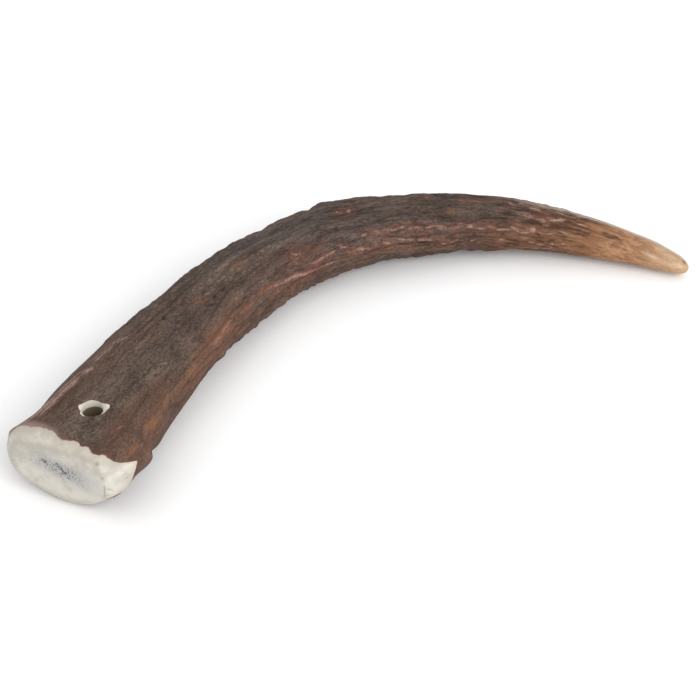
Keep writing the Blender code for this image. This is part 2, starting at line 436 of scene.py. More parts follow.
# Furrows and pits, dark inside: along, angle, length, width, lean, depth, darkness
FURROWS = (
    (91, 94, 18, 0.9, -4, 0.24, 0.38),
    (105, 87, 16, 0.9, -9, 0.28, 0.48),
    (119, 80, 15, 0.8, -5, 0.24, 0.42),
    (132, 76, 14, 0.8, -5, 0.22, 0.38),
    (146, 70, 16, 0.9, -7, 0.22, 0.36),
    (64.5, 92.5, 2.8, 1.3, 12, 0.40, 1.00),
    (68, 83.5, 2.6, 0.9, 0, 0.26, 0.60),
    (78.3, 64.5, 4.6, 1, -38, 0.40, 0.90),
    (75.5, 63.5, 2.6, 1.1, 0, 0.30, 0.70),
    (82.3, 69.5, 3.4, 1.5, 20, 0.40, 0.80),
    (87.5, 70, 3, 1.1, 10, 0.30, 0.75),
    (94, 59.5, 3.6, 1.1, 4, 0.38, 0.85),
    (95.5, 75, 3.2, 0.9, -6, 0.30, 0.65),
    (66, 56, 3, 0.9, 0, 0.28, 0.60),
    (64.8, 62, 3, 0.9, 0, 0.28, 0.60),
    (71, 70.5, 2.4, 0.8, 0, 0.26, 0.60),
    (62, 77, 2.4, 0.8, 0, 0.26, 0.55),
    (85, 61, 2.4, 0.9, 0, 0.26, 0.50),
    (40.8, 57, 2.6, 0.9, -6, 0.26, 0.70),
    (30.5, 58.5, 3.4, 0.7, 0, 0.20, 0.45),
    (47.5, 82, 2.6, 0.9, 0, 0.22, 0.40),
    (104, 64, 3, 0.8, 0, 0.22, 0.45),
    (109.5, 62.5, 2.6, 0.8, 0, 0.22, 0.50),
    (112, 56, 2.4, 0.9, 20, 0.26, 0.60),
    (86.5, 82.5, 3, 1.2, 0, 0.20, 0.35),
    (151, 12, 9, 1.2, -4, 0.26, 0.45),
    (163.1, 15.5, 8, 1.4, -7, 0.28, 0.60),
    (170.5, 13.5, 6, 1.3, -7, 0.30, 0.65),
    (168, 30, 12, 1.8, -4, 0.24, 0.45),
    (179, 25.5, 12, 2, -2, 0.26, 0.50),
    (155.5, 63, 3.6, 1.3, -12, 0.24, 0.55),
    (186, 54, 34, 4.4, -3, 0.12, 0.45),
    (178.6, 60.5, 3.4, 1.3, 0, 0.24, 0.60),
    (199, 97, 5, 2.4, 0, 0.18, 0.35),
    (206.5, 50, 4, 1.6, 0, 0.20, 0.50),
    (212, 55, 5.4, 2.4, 6, 0.28, 1.00),
    (212, 18, 3.2, 1.6, 0, 0.24, 0.60),
    (219.3, 52.5, 3.8, 2.4, 6, 0.30, 1.10),
    (223.4, 53.5, 4, 1.5, 8, 0.28, 0.85),
    (223.5, 98.5, 4.6, 1.1, 18, 0.24, 1.00),
    (224.7, 22.5, 5.8, 1, 8, 0.22, 0.70),
    (227.8, 82.5, 4.8, 1.4, 8, 0.24, 1.00),
    (230, 56, 4, 1.1, 10, 0.24, 0.85),
    (236.6, 68, 2.4, 1.3, 0, 0.24, 1.10),
    (239.8, 62, 5.4, 1.9, 8, 0.20, 1.10),
    (242, 60.5, 4, 1.2, 0, 0.16, 0.75),
    (234.5, 49.5, 2.6, 1.2, 0, 0.18, 0.55),
    (243, 47, 1.6, 1.6, 0, 0.18, 0.55),
    (251, 17, 3, 1.2, 0, 0.14, 0.60),
    (232.5, 78, 2, 1.4, 0, 0.16, 0.50),
    (248.5, 36, 1.4, 1, 0, 0.14, 0.40),
    (263.7, 89, 2, 1.7, -25, 0.12, 0.80),
)

# Rusty stains: along, angle, length, width, lean, strength
STAINS = (
    (11.5, 25, 6, 2.6, -4, 0.85),
    (25, 24, 8, 3.2, 0, 0.75),
    (36, 26, 8, 2.6, -4, 0.60),
    (44.5, 20, 9, 2.4, 0, 0.45),
    (51.5, 18.5, 10, 2.8, 4, 0.75),
    (61.5, 28, 10, 2.6, 3, 0.60),
    (67.5, 31, 8, 3, 8, 0.85),
    (75, 28, 12, 3, 0, 0.80),
    (89, 26.5, 6, 1.6, 0, 0.55),
    (99, 29.5, 7, 2, 0, 0.85),
    (104.5, 28, 5, 1.6, 0, 0.60),
    (131.5, 51.5, 3.6, 1.3, 0, 0.75),
    (77.8, 79, 3.4, 2.8, 0, 0.75),
    (127.3, 30.5, 4, 1.3, 0, 0.70),
    (140.5, 20, 3.6, 3, 0, 0.60),
    (126.7, 49, 6, 2.2, -18, 0.50),
    (182.5, 68, 2.6, 1.6, 0, 0.40),
    (200.5, 76, 3.6, 4.4, 0, 0.45),
    (196, 40.5, 6, 2, 0, 0.60),
    (168, 45, 30, 2.2, -2, 0.35),
    (144.6, 82, 6, 3.2, -14, 0.35),
    (99, 84, 14, 3.6, -6, 0.30),
    (57, 93, 9, 3.4, 0, 0.22),
    (15, 112, 12, 3, 0, 0.18),
    (170, 8, 40, 5, 0, 0.35),
    (205, 8, 26, 6, 0, 0.45),
    (222, 20, 14, 6, 0, 0.50),
    (65, 10, 40, 4, 0, 0.35),
    (24, 13, 18, 4, 0, 0.35),
    (112, 5, 36, 4, 0, 0.30),
)

# Soft middle of the bone at the cut, and its greyish halo: aside, above, half length, half width, tilt
CORE = (0.2, 1.8, 7.4, 2.7, -12.0)
CORE_HALO = (1.6, 1.4, 11.2, 4.6, -10.0)

# Pits on the cut and its ground edge: aside, above, radius, depth, darkness
CUT_PITS = (
    (-5.6, 3.1, 0.45, 0.5, 0.90),
    (-4.9, 2.5, 0.50, 0.6, 1.00),
    (-4.3, 3.3, 0.30, 0.3, 0.60),
    (-6.6, 2.6, 0.28, 0.3, 0.45),
    (-4.2, 1.9, 0.28, 0.3, 0.50),
    (-0.6, 3.4, 0.40, 0.5, 0.90),
    (-0.1, 2.7, 0.34, 0.5, 0.85),
    (0.5, 2, 0.45, 0.6, 1.00),
    (1, 1.3, 0.38, 0.6, 0.90),
    (1.6, 0.5, 0.40, 0.5, 0.95),
    (2, 1.2, 0.24, 0.3, 0.45),
    (0.2, -0.3, 0.24, 0.3, 0.40),
    (3, -0.8, 0.34, 0.4, 0.75),
    (3.6, 0.9, 0.24, 0.2, 0.40),
    (4.4, 2.1, 0.24, 0.2, 0.40),
    (5.4, 0.3, 0.24, 0.2, 0.35),
    (-1.8, 2.6, 0.20, 0.2, 0.35),
    (-8, 2.2, 0.24, 0.2, 0.30),
    (13.5, 9.4, 0.60, 0.1, 0.36),
    (14.7, 4.1, 0.36, 0.2, 0.50),
    (19.6, 4.2, 0.50, 0.1, 0.30),
    (20.3, 3.5, 0.50, 0.1, 0.28),
    (16.3, -0.1, 0.50, 0.2, 0.34),
    (17, -0.8, 0.40, 0.1, 0.24),
    (15.5, -2.6, 0.80, 0.1, 0.36),
    (14.9, -4.4, 0.90, 0.1, 0.32),
    (-16.3, -1.5, 0.30, 0.2, 0.30),
)

# How fast an oval fades, and how far the painted shade along the rim of the sawn face reaches
OVAL_FADE = 1.1
RIM_REACH = 0.0015

# Crack on the ground edge, from place to place in the same terms, its half width, depth and darkness
CRACK = ((15.0, 1.2), (14.9, -1.2), (14.7, -3.6))
CRACK_WIDTH = 0.20
CRACK_DEPTH = 0.15
CRACK_DARK = 0.40

# Where painted shade darkens the outer edge, and where a painted sheen pales the outer shoulder near
# the tip, by how far a point faces outward
PAINTED_EDGE_SHADE = (0.86, 0.94)
SHEEN_FACE = (0.50, 0.76)
SHEEN_BACK = (0.78, 0.96)
SHEEN_LOSS = 0.60

# Stretches along the tine over which a tone comes in, or comes in and goes out again
STREAKED = (0.040, 0.130)
OUTER_RED_ENDS = (0.030, 0.095)
PITTED = (0.045, 0.065, 0.100, 0.150)
GREYER = (0.090, 0.115, 0.130, 0.160)
SHADED = (0.115, 0.145, 0.180, 0.205)
FAR = (0.180, 0.205)
LOW_SIDE = (0.188, 0.208)
GAPS = (0.188, 0.205)
PAINTED_EDGE_SHADE_ENDS = (0.190, 0.215)
ASH_ENDS = (0.195, 0.215)
SHEEN_ALONG = (0.195, 0.228)
CRESTED = (0.196, 0.212)
RUSSET = (0.198, 0.226)
STRANDED = (0.200, 0.222)
BROWN_HOLLOWS = (0.200, 0.222)
WORN_TAN = (0.200, 0.224)
FAR_ENDS = (0.222, 0.236)
BARING = (0.226, 0.234)
BARE = (0.233, 0.241)
CREAM = (0.246, 0.268)
WEAR_SHIFT = 0.0015

# Bump and gloss of the whole tine
BUMP_STRENGTH = 0.9
BUMP_DEPTH = 0.0005
SPECULAR = 0.12
COAT_ROUGHNESS = 0.22
ROUGHNESS = 0.70

# Stage
FLOOR_HALF = 3.0
FLOOR_ROUGHNESS = 0.9
SKY_STRENGTH = 0.95
KEY_POWER = 26.0
KEY_SIZE = 1.6
KEY_PLACE = (0.33, -1.76, 1.28)
VIEW_TARGET = (-0.0009, -0.0114)
SENSOR_WIDTH = 36.0
CAMERA_SEES = (0.01, 20.0)


def smooth(low, high, value):
    """Rises smoothly from 0 at low to 1 at high."""
    share = np.clip((value - low) / (high - low), 0.0, 1.0)
    return share * share * (3.0 - 2.0 * share)


def stretch(value, rise_from, rise_by, fall_from, fall_by):
    """Rises smoothly from 0 to 1 and falls back to 0 further on."""
    return smooth(rise_from, rise_by, value) * (1.0 - smooth(fall_from, fall_by, value))


def bump(value, place, reach):
    """A round bump that is 1 at its place and fades over its reach."""
    return np.exp(-((value - place) / reach) ** 2)


def facing(turn, degrees):
    """1 at one angle round the section, 0 at the opposite one."""
    return 0.5 + 0.5 * np.cos(turn - math.radians(degrees))


def profile(column, share):
    """One column of STATIONS at a share of the length, as a smooth curve through its values."""
    x = np.array([row[0] for row in STATIONS])
    y = np.array([row[column] for row in STATIONS])
    slope = np.gradient(y, x)
    share = np.clip(share, 0.0, 1.0)
    i = np.clip(np.searchsorted(x, share) - 1, 0, len(x) - 2)
    gap = x[i + 1] - x[i]
    u = (share - x[i]) / gap
    start = (1.0 + 2.0 * u) * (1.0 - u) ** 2 * y[i] + u * (1.0 - u) ** 2 * gap * slope[i]
    end = u * u * (3.0 - 2.0 * u) * y[i + 1] + u * u * (u - 1.0) * gap * slope[i + 1]
    return start + end


class Axis:
    """The tine's axis seen from above, laid from the sawn face that the record gives as a mount."""

    def __init__(self):
        cut = frame["record"]["mounts"][0]["pos_m"]
        self.along = np.linspace(0.0, LENGTH + TIP_REACH, AXIS_STEPS)
        self.heading = np.radians(profile(HEADING, self.along / LENGTH))
        middle = (self.heading[1:] + self.heading[:-1]) / 2.0
        step = self.along[1]
        self.east = cut[0] + np.concatenate([[0.0], np.cumsum(np.cos(middle)) * step])
        self.north = cut[1] + np.concatenate([[0.0], np.cumsum(np.sin(middle)) * step])
        self.rise = cut[2] - STATIONS[0][HALF_THICK]

    def at(self, along):
        """East, north and heading at distances along the tine."""
        lines = (self.east, self.north, self.heading)
        return tuple(np.interp(along, self.along, line) for line in lines)

    def point(self, along, side, up):
        """Points at distances along the tine, aside from its axis and above it."""
        east, north, heading = self.at(along)
        height = self.rise + profile(HALF_THICK, along / LENGTH) + up
        return np.stack([east + side * np.sin(heading), north - side * np.cos(heading), height], -1)

    def places(self, points):
        """The reverse of point(): along, side and up of points, as if the tine were straight."""
        gap = (points[:, 0, None] - self.east) ** 2 + (points[:, 1, None] - self.north) ** 2
        nearest = gap.argmin(1)
        heading = self.heading[nearest]
        dx = points[:, 0] - self.east[nearest]
        dy = points[:, 1] - self.north[nearest]
        along = self.along[nearest] + dx * np.cos(heading) + dy * np.sin(heading)
        side = dx * np.sin(heading) - dy * np.cos(heading)
        up = points[:, 2] - self.rise - profile(HALF_THICK, along / LENGTH)
        return along, side, up


AXIS = Axis()


def noise_at(along, side, up, length, width, seed):
    """Smooth noise on the tine as if it were straight, stretched to a length and a width."""
    points = np.stack([along / length + seed, side / width, up / width], -1)
    return np.array([noise.noise(Vector(point)) for point in points])


def cells_at(along, side, up, length, width, seed):
    """How far the nearest cell's middle is, in cells, on the tine as if it were straight."""
    points = np.stack([along / length + seed, side / width, up / width], -1)
    return np.array([noise.voronoi(Vector(point))[0][0] for point in points])


def domes(place, cells):
    """Cells as domes: 1 at the middle of each and 0 between them."""
    return np.clip(1.0 - cells_at(*place, *cells) / CELL_SPREAD, 0.0, 1.0)


def arc_radius(along):
    """A mean radius of the section, which turns an angle into a distance round the tine."""
    share = along / LENGTH
    return (profile(HALF_WIDTH, share) + profile(HALF_THICK, share)) / 2.0


def marks(table, along, turn, value, spread=0.0):
    """The greatest of a table's marks at each place, each a soft long blob times its value."""
    total = np.zeros(len(along))
    degrees = np.degrees(turn)
    for mark in table:
        place, angle = mark[:2]
        length = mark[2] + spread
        width = mark[3] + spread
        lean = math.radians(mark[4])
        ahead = along / MM - place
        near = np.abs(ahead) < length * MARK_REACH + width
        round_by = (degrees[near] - angle + 180.0) % 360.0 - 180.0
        across = np.radians(round_by) * arc_radius(along[near]) / MM
        long_way = ahead[near] * math.cos(lean) + across * math.sin(lean)
        short_way = across * math.cos(lean) - ahead[near] * math.sin(lean)
        apart = np.abs(long_way / (length / 2.0)) ** MARK_POWERS[0]
        apart = apart + np.abs(short_way / (width / 2.0)) ** MARK_POWERS[1]
        total[near] = np.maximum(total[near], mark[value] * np.exp(-MARK_FADE * apart))
    return total


class Relief:
    """Heights of the bark over the plain section, and the masks that its colours follow."""

    def __init__(self, along, turn):
        share = along / LENGTH
        side = profile(HALF_WIDTH, share) * np.cos(turn)
        up = profile(HALF_THICK, share) * np.sin(turn)
        place = (along, side, up)
        wander = noise_at(*place, *WANDER_NOISE)
        wander_round = noise_at(*place, *WANDER_ROUND_NOISE)
        marked = (along + MARK_WANDER * wander_round, turn + MARK_WANDER * wander / arc_radius(along))
        warped = (along, side + GRAIN_WANDER * wander_round, up + GRAIN_WANDER * wander)
        furrow = np.clip(1.0 - np.abs(noise_at(*warped, *FURROW_NOISE)) / FURROW_SPREAD, 0.0, 1.0)
        pearl = domes(warped, PEARL_CELLS) * smooth(-0.25, 0.30, noise_at(*place, *PEARL_PATCHES))
        beads = BEAD_HEIGHT * (domes(warped, BEAD_CELLS) - BEAD_LEVEL) * self.beaded(place, turn, share)
        rough = stretch(share, *ROUGH_STRETCH)
        fine = rough * (PEARL_HEIGHT * pearl - FURROW_DEPTH * furrow + beads)
        fine = fine + (GRIT_HEIGHT + ROUGH_GRIT_HEIGHT * rough) * noise_at(*place, *GRIT_NOISE)
        fine = fine + marks(RIDGES + BANDS, *marked, FORCE) - marks(FURROWS, *marked, FORCE)
        broad = (1.0 - smooth(BARE_FROM, BARE_BY, share)) * self.ridges_and_lumps(*place, share)
        self.height = broad + self.outer_step(along, turn) + MM * fine
        self.dark = marks(FURROWS, *marked, TONE)
        self.masks = {
            "pale": marks(RIDGES + BANDS, *marked, TONE),
            "blush": marks(RIDGES, *marked, TONE, BLUSH_SPREAD),
            "stain": marks(STAINS, *marked, FORCE),
            "furrow": furrow,
            "pearl": pearl,
        }

    @staticmethod
    def beaded(place, turn, share):
        """How beaded the bark is: most along the outer side and the lower inner edge, in patches."""
        outer = 0.5 * smooth(*BEADED_OUTER, facing(turn, BEADED_OUTER_ANGLE))
        outer = outer * (1.0 - smooth(*BEADED_OUTER_ENDS, share))
        under = smooth(*BEADED_UNDER, facing(turn, BEADED_UNDER_ANGLE))
        under = under * (0.4 + 0.6 * smooth(*BEADED_UNDER_GROWS, share))
        under = under * (1.0 - 0.7 * smooth(*BEADED_UNDER_ENDS, share))
        return (outer + under) * (0.55 + 0.65 * smooth(-0.15, 0.25, noise_at(*place, *BEAD_PATCHES)))

    @staticmethod
    def ridges_and_lumps(along, side, up, share):
        ridged = RIDGE_AT_CUT + (1.0 - RIDGE_AT_CUT) * smooth(*RIDGE_FULL, share)
        grain = noise_at(along, side, up, *RIDGE_NOISE)
        ridge = RIDGE_HEIGHT * ridged * (RIDGE_LEVEL - RIDGE_SHARPNESS * np.abs(grain))
        return ridge + LUMP_HEIGHT * noise_at(along, side, up, *LUMP_NOISE)

    @staticmethod
    def outer_step(along, turn):
        rise = bump(along, STEP_PLACE + STEP_REACH, 2.0 * STEP_REACH)
        fall = bump(along, STEP_PLACE - STEP_REACH, STEP_REACH)
        return STEP_HEIGHT * (rise - fall) * facing(turn, OUTER) ** STEP_FOCUS


def swell(along, turn):
    """Broad corrections of the outline."""
    total = np.zeros(len(along))
    for place, angle, length, width, height in SWELLS:
        round_by = (np.degrees(turn) - angle + 180.0) % 360.0 - 180.0
        near = bump(along / MM, place, length / 2.0) * bump(round_by, 0.0, width / 2.0)
        total += height * MM * near
    return total


def outside(along, turn, inset, relief):
    """Side and up of the outer surface at distances along the tine and angles round it."""
    share = along / LENGTH
    half_width = profile(HALF_WIDTH, share)
    half_thick = profile(HALF_THICK, share)
    flare = np.exp(-along / FLARE_REACH) * (FLARE_ROUND + FLARE_SIDES * np.abs(np.cos(turn)))
    knuckle = KNUCKLE_HEIGHT * (1.0 - smooth(KNUCKLE_END - KNUCKLE_STEEPNESS, KNUCKLE_END, along))
    notch = KNUCKLE_NOTCH * bump(along, KNUCKLE_END + KNUCKLE_STEEPNESS, KNUCKLE_STEEPNESS)
    over = flare + (knuckle - notch) * facing(turn, INNER) ** KNUCKLE_FOCUS
    over = over - inset + relief + swell(along, turn)
    low_inner = smooth(*LOW_INNER_FACE, facing(turn, LOW_INNER_ANGLE))
    square = SQUARENESS + (SQUARENESS_LOW_INNER - SQUARENESS) * low_inner
    power = 2.0 / (2.0 + (square - 2.0) * np.exp(-share / SQUARENESS_REACH))
    closing = np.sqrt(1.0 - np.clip((along - LENGTH + TIP_ROUND) / TIP_ROUND, 0.0, 1.0) ** 2)
    side = (half_width + over) * closing * np.sign(np.cos(turn)) * np.abs(np.cos(turn)) ** power
    up = (half_thick + over) * closing * np.sign(np.sin(turn)) * np.abs(np.sin(turn)) ** power
    lift = INNER_LIFT * np.exp(-share / SQUARENESS_REACH) * np.clip(np.cos(turn), 0.0, 1.0) ** 2
    return side, up + lift


def around(table, column, turn):
    """A column of a table whose first column is an angle, read round the section, slightly blurred."""
    angles = [row[0] for row in table]
    values = [row[column] for row in table]
    degrees = np.degrees(turn)
    offs = (-TABLE_BLUR, 0.0, TABLE_BLUR)
    return sum(np.interp(degrees + off, angles, values, period=360.0) for off in offs) / len(offs)


class GroundEdge:
    """The ground edge of the cut at each angle: its rim on the sawn face and where the bark begins."""

    def __init__(self, turn):
        degrees = (np.degrees(turn) + 180.0) % 360.0 - 180.0
        self.on_facet = stretch(degrees, *FACET_TURNS)
        self.depth = MM * around(GROUND_EDGE, AHEAD, turn)
        inset = MM * around(GROUND_EDGE, INWARD, turn)
        rim_side, rim_up = outside(np.zeros(len(turn)), turn, inset, 0.0)
        most = FACET_FROM - FACET_LEAN * rim_up
        self.rim_side = -FACET_BLEND * np.logaddexp(-rim_side / FACET_BLEND, -most / FACET_BLEND)
        self.rim_up = rim_up
        waver = noise_at(np.zeros(len(turn)), np.cos(turn), np.sin(turn), *BARK_WAVER_NOISE)
        bark = MM * (around(BARK_EDGE, AHEAD, turn) + BARK_WAVER * waver)
        self.bark = bark + (self.depth - bark) * self.on_facet


def shaft_shares():
    """Share of the way from cut to tip for each ring, closest near the cut and round the tip."""
    end = 1.0 - TIP_ROUND / LENGTH
    even = np.linspace(0.0, 1.0, SHAFT_ROWS + 1)
    shaft = end * even * (1.0 - CROWDING * (1.0 - even))
    quarter = np.linspace(0.0, math.pi / 2.0, TIP_ROWS + 1)[1:]
    return np.concatenate([shaft, end + (1.0 - end) * np.sin(quarter)])


def cut_relief(side, up):
    """Depth of the pits and of the crack on the cut, and how dark they are."""
    depth = np.zeros(len(side))
    dark = np.zeros(len(side))
    for aside, above, radius, deep, dim in CUT_PITS:
        apart = ((side / MM - aside) ** 2 + (up / MM - above) ** 2) / radius ** 2
        hollow = np.exp(-apart)
        depth = np.maximum(depth, deep * hollow)
        dark = np.maximum(dark, dim * hollow)
    for start, end in zip(CRACK, CRACK[1:]):
        run = np.array(end) - np.array(start)
        from_start = np.stack([side / MM - start[0], up / MM - start[1]], -1)
        share = np.clip(from_start @ run / (run @ run), 0.0, 1.0)
        apart = np.linalg.norm(from_start - share[:, None] * run, axis=1)
        hollow = np.exp(-(apart / CRACK_WIDTH) ** 2)
        depth = np.maximum(depth, CRACK_DEPTH * hollow)
        dark = np.maximum(dark, CRACK_DARK * hollow)
    return depth * MM, dark


def oval_mask(side, up, oval):
    """1 within an oval on the sawn face and 0 well outside it."""
    aside, above, long_way, short_way, tilt = oval
    lean = math.radians(tilt)
    dx = side / MM - aside
    dy = up / MM - above
    ahead = (dx * math.cos(lean) + dy * math.sin(lean)) / long_way
    across = (dy * math.cos(lean) - dx * math.sin(lean)) / short_way
    return np.exp(-np.sqrt(ahead ** 4 + across ** 4) * OVAL_FADE)


def set_layer(mesh, name, kind, domain, values):
    """Writes an attribute of a mesh from an array."""
    layer = mesh.attributes.new(name, kind, domain)
    field = "vector" if kind == "FLOAT_VECTOR" else "value"
    layer.data.foreach_set(field, np.asarray(values, np.float32).ravel())


def tine_surface(turn, row):
    """Points of the tine by angle and grid row, and the numbers that its colours follow."""
    ground = GroundEdge(turn)
    edge = np.clip((row - FACE_ROWS) / EDGE_ROWS, 0.0, 1.0)
    roundness = GROUND_ROUND * (1.0 - ground.on_facet)
    eased = edge + (edge ** FACET_EASING - edge) * ground.on_facet
    edge_along = eased + (1.0 - np.cos(edge * np.pi / 2.0) - edge) * roundness
    edge_out = edge + (np.sin(edge * np.pi / 2.0) - edge) * roundness
    on_shaft = np.clip(row - FACE_ROWS - EDGE_ROWS, 0, None)
    shaft_along = ground.depth + (LENGTH - ground.depth) * shaft_shares()[on_shaft]
    along = np.where(on_shaft > 0, shaft_along, ground.depth * edge_along)
    relief = Relief(along, turn)
    past_bark = along - ground.bark
    height = relief.height * smooth(*BARK_LIP, past_bark)
    side, up = outside(np.maximum(along, ground.depth), turn, 0.0, height)
    inward = np.clip(row / FACE_ROWS, 0.0, 1.0) ** FACE_EASING
    side = (ground.rim_side + (side - ground.rim_side) * edge_out) * inward
    up = (ground.rim_up + (up - ground.rim_up) * edge_out) * inward
    from_rim = np.hypot(along, np.hypot(side - ground.rim_side, up - ground.rim_up))
    cut_depth, cut_dark = cut_relief(side, up)
    on_cut = (past_bark < 0.0) & (on_shaft == 0)
    on_face = row <= FACE_ROWS + FACE_MARGIN
    along = along + np.where(on_cut, cut_depth, 0.0)
    reach = TIP_REACH * smooth(LENGTH - TIP_REACH_FROM, LENGTH, along)
    outward = facing(turn, OUTER)
    layers = {
        "past_bark": np.clip(past_bark / MM, -BARK_RECORD, BARK_RECORD),
        "core": np.where(on_face, oval_mask(side, up, CORE), 0.0),
        "core_halo": np.where(on_face, oval_mask(side, up, CORE_HALO), 0.0),
        # Duller line round the sawn face: painted shade where the face meets its ground edge
        "rim": bump(from_rim, 0.0, RIM_REACH) * (1.0 - ground.on_facet),
        "pit": np.where(on_cut, cut_dark, relief.dark),
    }
    for name, mask in relief.masks.items():
        layers[name] = np.where(on_cut, 0.0, mask)
    # Painted shade along the outer edge
    layers["outer"] = smooth(*PAINTED_EDGE_SHADE, outward)
    # Painted sheen on the outer shoulder near the tip, which the coat also makes glossier
    behind = SHEEN_LOSS * smooth(*SHEEN_BACK, outward)
    layers["weathered"] = smooth(*SHEEN_FACE, outward) * (1.0 - behind)
    return AXIS.point(along + reach, side, up), layers


def tine_shell():
    """The whole tine as one closed grid: the sawn face from its middle, its ground edge, the shaft."""
    rows = FACE_ROWS + EDGE_ROWS + SHAFT_ROWS + TIP_ROWS
    shell = bmesh.new()
    bmesh.ops.create_grid(shell, x_segments=AROUND, y_segments=rows, size=1.0)
    flat = np.array([vert.co for vert in shell.verts])
    turn = np.pi * (flat[:, 0] + 1.0)
    row = np.rint((flat[:, 1] + 1.0) / 2.0 * rows).astype(int)
    points, layers = tine_surface(turn, row)
    for vert, point in zip(shell.verts, points):
        vert.co = point
    for name, values in layers.items():
        layer = shell.verts.layers.float.new(name)
        for vert, value in zip(shell.verts, values):
            vert[layer] = value
    bmesh.ops.remove_doubles(shell, verts=shell.verts, dist=WELD)
    bmesh.ops.recalc_face_normals(shell, faces=shell.faces)
    mesh = bpy.data.meshes.new("tine_shell")
    shell.to_mesh(mesh)
    shell.free()
    return mesh


def chip_reach(angle):
    """How far the bark broke away past the drill at an angle round the hole."""
    angles = [row[0] for row in CHIP_OUTLINE]
    reaches = [row[1] for row in CHIP_OUTLINE]
    return MM * float(np.interp(math.degrees(angle), angles, reaches, period=360.0))


def drill_bar(diameter):
    """The bar that cuts the hole: round, and wider where it breaks through the bark."""
    middle = AXIS.point(HOLE_FROM_CUT, HOLE_ASIDE, 0.0)
    top = 2.0 * profile(HALF_THICK, HOLE_FROM_CUT / LENGTH) + AXIS.rise
    bottom = AXIS.rise
    widest = 1.0 + DRILL_OVERRUN / CHIP_DEPTH
    levels = (
        (bottom - DRILL_OVERRUN, widest),
        (bottom + CHIP_DEPTH, 0.0),
        (bottom + CHIP_DEPTH + WALL_EDGE, 0.0),
        (top - CHIP_DEPTH - WALL_EDGE, 0.0),
        (top - CHIP_DEPTH, 0.0),
        (top + DRILL_OVERRUN, widest),
    )
    bar = bmesh.new()
    rings = [bmesh.ops.create_circle(bar, segments=HOLE_SIDES, radius=1.0)["verts"]]
    edges = list(bar.edges)
    for _ in levels[1:]:
        made = bmesh.ops.extrude_edge_only(bar, edges=edges)["geom"]
        rings.append([item for item in made if isinstance(item, bmesh.types.BMVert)])
        edges = [item for item in made if isinstance(item, bmesh.types.BMEdge)]
    for ring, (height, spread) in zip(rings, levels):
        for vert in ring:
            angle = math.atan2(vert.co.y, vert.co.x)
            reach = diameter / 2.0 + spread * chip_reach(angle)
            vert.co = (middle[0] + reach * math.cos(angle), middle[1] + reach * math.sin(angle), height)
    bmesh.ops.holes_fill(bar, edges=bar.edges)
    bmesh.ops.recalc_face_normals(bar, faces=bar.faces)
    for face in bar.faces:
        face.material_index = 1
    mesh = bpy.data.meshes.new("drill")
    bar.to_mesh(mesh)
    bar.free()
    return mesh


def drilled(shell, drill):
    """The tine's mesh with the hole cut through it."""
    tine = bpy.data.objects.new("uncut_tine", shell)
    cutter = bpy.data.objects.new("drill", drill)
    for thing in (tine, cutter):
        bpy.context.scene.collection.objects.link(thing)
    cut = tine.modifiers.new("hole", "BOOLEAN")
    cut.operation = "DIFFERENCE"
    cut.solver = "EXACT"
    cut.object = cutter
    bpy.context.view_layer.update()
    depsgraph = bpy.context.evaluated_depsgraph_get()
    mesh = bpy.data.meshes.new_from_object(tine.evaluated_get(depsgraph))
    for thing in (tine, cutter):
        bpy.data.objects.remove(thing, do_unlink=True)
    return mesh


def dress_drilled(mesh):
    """Marks what the drill laid bare, and gives every point its place along the grain."""
    points = np.zeros(len(mesh.vertices) * 3, np.float32)
    mesh.vertices.foreach_get("co", points)
    points = points.reshape(-1, 3).astype(float)
    along, side, up = AXIS.places(points)
    set_layer(mesh, "grain", "FLOAT_VECTOR", "POINT", np.stack([along, side, up], -1))
    cut_by_drill = np.zeros(len(mesh.polygons), int)
    mesh.polygons.foreach_get("material_index", cut_by_drill)
    loops = np.zeros(len(mesh.polygons), int)
    mesh.polygons.foreach_get("loop_total", loops)
    bare = np.repeat(cut_by_drill > 0, loops)
    set_layer(mesh, "laid_bare", "FLOAT", "CORNER", bare)
    mesh.polygons.foreach_set("material_index", np.zeros(len(mesh.polygons), int))
    mesh.update()


class Flow:
    """A socket of a material's tree, on which sums add Math nodes."""

    def __init__(self, paint, socket):
        self.paint = paint
        self.socket = socket

    def __add__(self, other):
        return self.paint.maths("ADD", self, other)

    def __sub__(self, other):
        return self.paint.maths("SUBTRACT", self, other)

    def __rsub__(self, other):
        return self.paint.maths("SUBTRACT", other, self)

    def __mul__(self, other):
        return self.paint.maths("MULTIPLY", self, other)

    def __truediv__(self, other):
        return self.paint.maths("DIVIDE", self, other)

    __radd__ = __add__
    __rmul__ = __mul__


def full_colour(value):
    """A flow as it is, or a plain colour with full alpha."""
    return value if isinstance(value, Flow) else (*value, 1.0)


